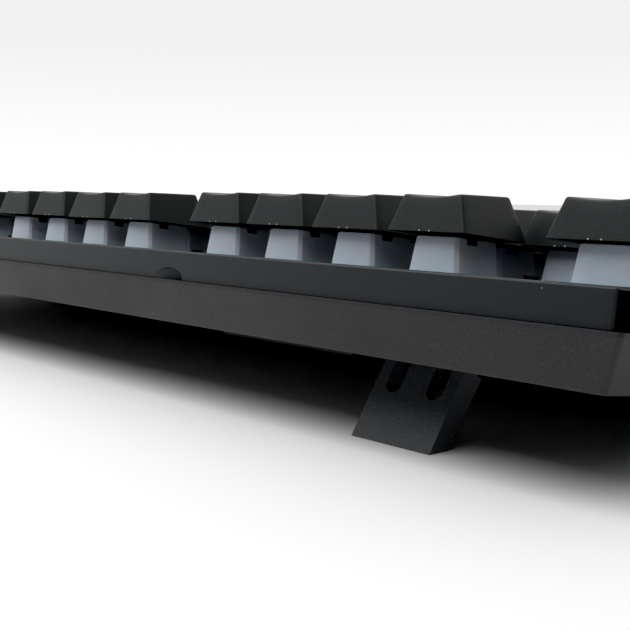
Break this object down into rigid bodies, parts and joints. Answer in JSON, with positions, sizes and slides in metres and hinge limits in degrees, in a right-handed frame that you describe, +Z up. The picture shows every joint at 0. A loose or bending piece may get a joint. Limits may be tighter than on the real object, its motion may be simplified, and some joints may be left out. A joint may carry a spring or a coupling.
{
  "type": "mechanical keyboard",
  "caption": "Compact mechanical keyboard with floating dished keys on clear switches, a folded top plate, a textured tub and flip-out rear feet.",
  "frame": {"origin": "middle of the footprint on the surface that the keyboard stands on, with its feet unfolded", "axes": "+X towards the typist's right along the keyboard, +Y towards the rear edge with the cable socket, +Z up from the standing surface"},
  "size_m": [0.3522, 0.1262, 0.0413],
  "materials": {
    "case_plastic": "fine spark-eroded texture",
    "plate_paint": "satin",
    "board_laminate": "solder mask",
    "chip_resin": "moulded",
    "diode_glass": "moulded",
    "socket_steel": "plated",
    "switch_nylon": "moulded",
    "clear_housing": "milky translucent",
    "spring_steel": "drawn wire",
    "contact_copper": "stamped",
    "light_resin": "clear resin",
    "wire_steel": "drawn wire",
    "screw_black": "black oxide",
    "strip_rubber": "matt",
    "pad_rubber": "moulded",
    "foot_plastic": "fine texture",
    "keycap_plastic": "fine grain",
    "stem_plastic": "moulded"
  },
  "bodies": {
    "case": {"bottom_case": "case_plastic", "top_plate": "plate_paint", "end_strips": "strip_rubber", "circuit_board": "board_laminate", "controller_chip": "chip_resin", "matrix_diodes": "diode_glass", "usb_socket": "socket_steel", "switch_bases": "switch_nylon", "switch_covers": "clear_housing", "switch_springs": "spring_steel", "switch_contacts": "contact_copper", "key_lights": "light_resin", "stabilizer_housings": "switch_nylon", "stabilizer_wires": "wire_steel", "case_screws": "screw_black", "front_pads": "pad_rubber", "rear_pads": "pad_rubber"},
    "key_escape": {"keycap_escape": "keycap_plastic", "stem_escape": "stem_plastic"},
    "key_f1": {"keycap_f1": "keycap_plastic", "stem_f1": "stem_plastic"},
    "key_f2": {"keycap_f2": "keycap_plastic", "stem_f2": "stem_plastic"},
    "key_f3": {"keycap_f3": "keycap_plastic", "stem_f3": "stem_plastic"},
    "key_f4": {"keycap_f4": "keycap_plastic", "stem_f4": "stem_plastic"},
    "key_f5": {"keycap_f5": "keycap_plastic", "stem_f5": "stem_plastic"},
    "key_f6": {"keycap_f6": "keycap_plastic", "stem_f6": "stem_plastic"},
    "key_f7": {"keycap_f7": "keycap_plastic", "stem_f7": "stem_plastic"},
    "key_f8": {"keycap_f8": "keycap_plastic", "stem_f8": "stem_plastic"},
    "key_f9": {"keycap_f9": "keycap_plastic", "stem_f9": "stem_plastic"},
    "key_f10": {"keycap_f10": "keycap_plastic", "stem_f10": "stem_plastic"},
    "key_f11": {"keycap_f11": "keycap_plastic", "stem_f11": "stem_plastic"},
    "key_f12": {"keycap_f12": "keycap_plastic", "stem_f12": "stem_plastic"},
    "key_space": {"keycap_space": "keycap_plastic", "stem_space": "stem_plastic"},
    "number_row": {"keycaps_number_row": "keycap_plastic", "stems_number_row": "stem_plastic"},
    "upper_row": {"keycaps_upper_row": "keycap_plastic", "stems_upper_row": "stem_plastic"},
    "home_row": {"keycaps_home_row": "keycap_plastic", "stems_home_row": "stem_plastic"},
    "lower_row": {"keycaps_lower_row": "keycap_plastic", "stems_lower_row": "stem_plastic"},
    "bottom_row": {"keycaps_bottom_row": "keycap_plastic", "stems_bottom_row": "stem_plastic"},
    "navigation": {"keycaps_navigation": "keycap_plastic", "stems_navigation": "stem_plastic"},
    "foot_left": {"foot_left": "foot_plastic"},
    "foot_right": {"foot_right": "foot_plastic"}
  },
  "joints": [
    {"name": "press_escape", "type": "slide", "parent": "case", "child": "key_escape", "axis": [0, 0.1214, -0.9926], "range_m": [0, 0.0038], "stiffness_N_per_m": 100, "springref_m": -0.003},
    {"name": "press_f1", "type": "slide", "parent": "case", "child": "key_f1", "axis": [0, 0.1214, -0.9926], "range_m": [0, 0.0038], "stiffness_N_per_m": 100, "springref_m": -0.003},
    {"name": "press_f2", "type": "slide", "parent": "case", "child": "key_f2", "axis": [0, 0.1214, -0.9926], "range_m": [0, 0.0038], "stiffness_N_per_m": 100, "springref_m": -0.003},
    {"name": "press_f3", "type": "slide", "parent": "case", "child": "key_f3", "axis": [0, 0.1214, -0.9926], "range_m": [0, 0.0038], "stiffness_N_per_m": 100, "springref_m": -0.003},
    {"name": "press_f4", "type": "slide", "parent": "case", "child": "key_f4", "axis": [0, 0.1214, -0.9926], "range_m": [0, 0.0038], "stiffness_N_per_m": 100, "springref_m": -0.003},
    {"name": "press_f5", "type": "slide", "parent": "case", "child": "key_f5", "axis": [0, 0.1214, -0.9926], "range_m": [0, 0.0038], "stiffness_N_per_m": 100, "springref_m": -0.003},
    {"name": "press_f6", "type": "slide", "parent": "case", "child": "key_f6", "axis": [0, 0.1214, -0.9926], "range_m": [0, 0.0038], "stiffness_N_per_m": 100, "springref_m": -0.003},
    {"name": "press_f7", "type": "slide", "parent": "case", "child": "key_f7", "axis": [0, 0.1214, -0.9926], "range_m": [0, 0.0038], "stiffness_N_per_m": 100, "springref_m": -0.003},
    {"name": "press_f8", "type": "slide", "parent": "case", "child": "key_f8", "axis": [0, 0.1214, -0.9926], "range_m": [0, 0.0038], "stiffness_N_per_m": 100, "springref_m": -0.003},
    {"name": "press_f9", "type": "slide", "parent": "case", "child": "key_f9", "axis": [0, 0.1214, -0.9926], "range_m": [0, 0.0038], "stiffness_N_per_m": 100, "springref_m": -0.003},
    {"name": "press_f10", "type": "slide", "parent": "case", "child": "key_f10", "axis": [0, 0.1214, -0.9926], "range_m": [0, 0.0038], "stiffness_N_per_m": 100, "springref_m": -0.003},
    {"name": "press_f11", "type": "slide", "parent": "case", "child": "key_f11", "axis": [0, 0.1214, -0.9926], "range_m": [0, 0.0038], "stiffness_N_per_m": 100, "springref_m": -0.003},
    {"name": "press_f12", "type": "slide", "parent": "case", "child": "key_f12", "axis": [0, 0.1214, -0.9926], "range_m": [0, 0.0038], "stiffness_N_per_m": 100, "springref_m": -0.003},
    {"name": "press_space", "type": "slide", "parent": "case", "child": "key_space", "axis": [0, 0.1214, -0.9926], "range_m": [0, 0.0038], "stiffness_N_per_m": 100, "springref_m": -0.003},
    {"name": "press_number_row", "type": "slide", "parent": "case", "child": "number_row", "axis": [0, 0.1214, -0.9926], "range_m": [0, 0.0038], "stiffness_N_per_m": 1400, "springref_m": -0.003},
    {"name": "press_upper_row", "type": "slide", "parent": "case", "child": "upper_row", "axis": [0, 0.1214, -0.9926], "range_m": [0, 0.0038], "stiffness_N_per_m": 1400, "springref_m": -0.003},
    {"name": "press_home_row", "type": "slide", "parent": "case", "child": "home_row", "axis": [0, 0.1214, -0.9926], "range_m": [0, 0.0038], "stiffness_N_per_m": 1300, "springref_m": -0.003},
    {"name": "press_lower_row", "type": "slide", "parent": "case", "child": "lower_row", "axis": [0, 0.1214, -0.9926], "range_m": [0, 0.0038], "stiffness_N_per_m": 1200, "springref_m": -0.003},
    {"name": "press_bottom_row", "type": "slide", "parent": "case", "child": "bottom_row", "axis": [0, 0.1214, -0.9926], "range_m": [0, 0.0038], "stiffness_N_per_m": 700, "springref_m": -0.003},
    {"name": "press_navigation", "type": "slide", "parent": "case", "child": "navigation", "axis": [0, 0.1214, -0.9926], "range_m": [0, 0.0038], "stiffness_N_per_m": 1300, "springref_m": -0.003},
    {"name": "foot_left_fold", "type": "hinge", "parent": "case", "child": "foot_left", "pos_m": [-0.1278, 0.04238, 0.01507], "axis": [-1, 0, 0], "range_deg": [0, 116]},
    {"name": "foot_right_fold", "type": "hinge", "parent": "case", "child": "foot_right", "pos_m": [0.1278, 0.04238, 0.01507], "axis": [-1, 0, 0], "range_deg": [0, 116]}
  ]
}
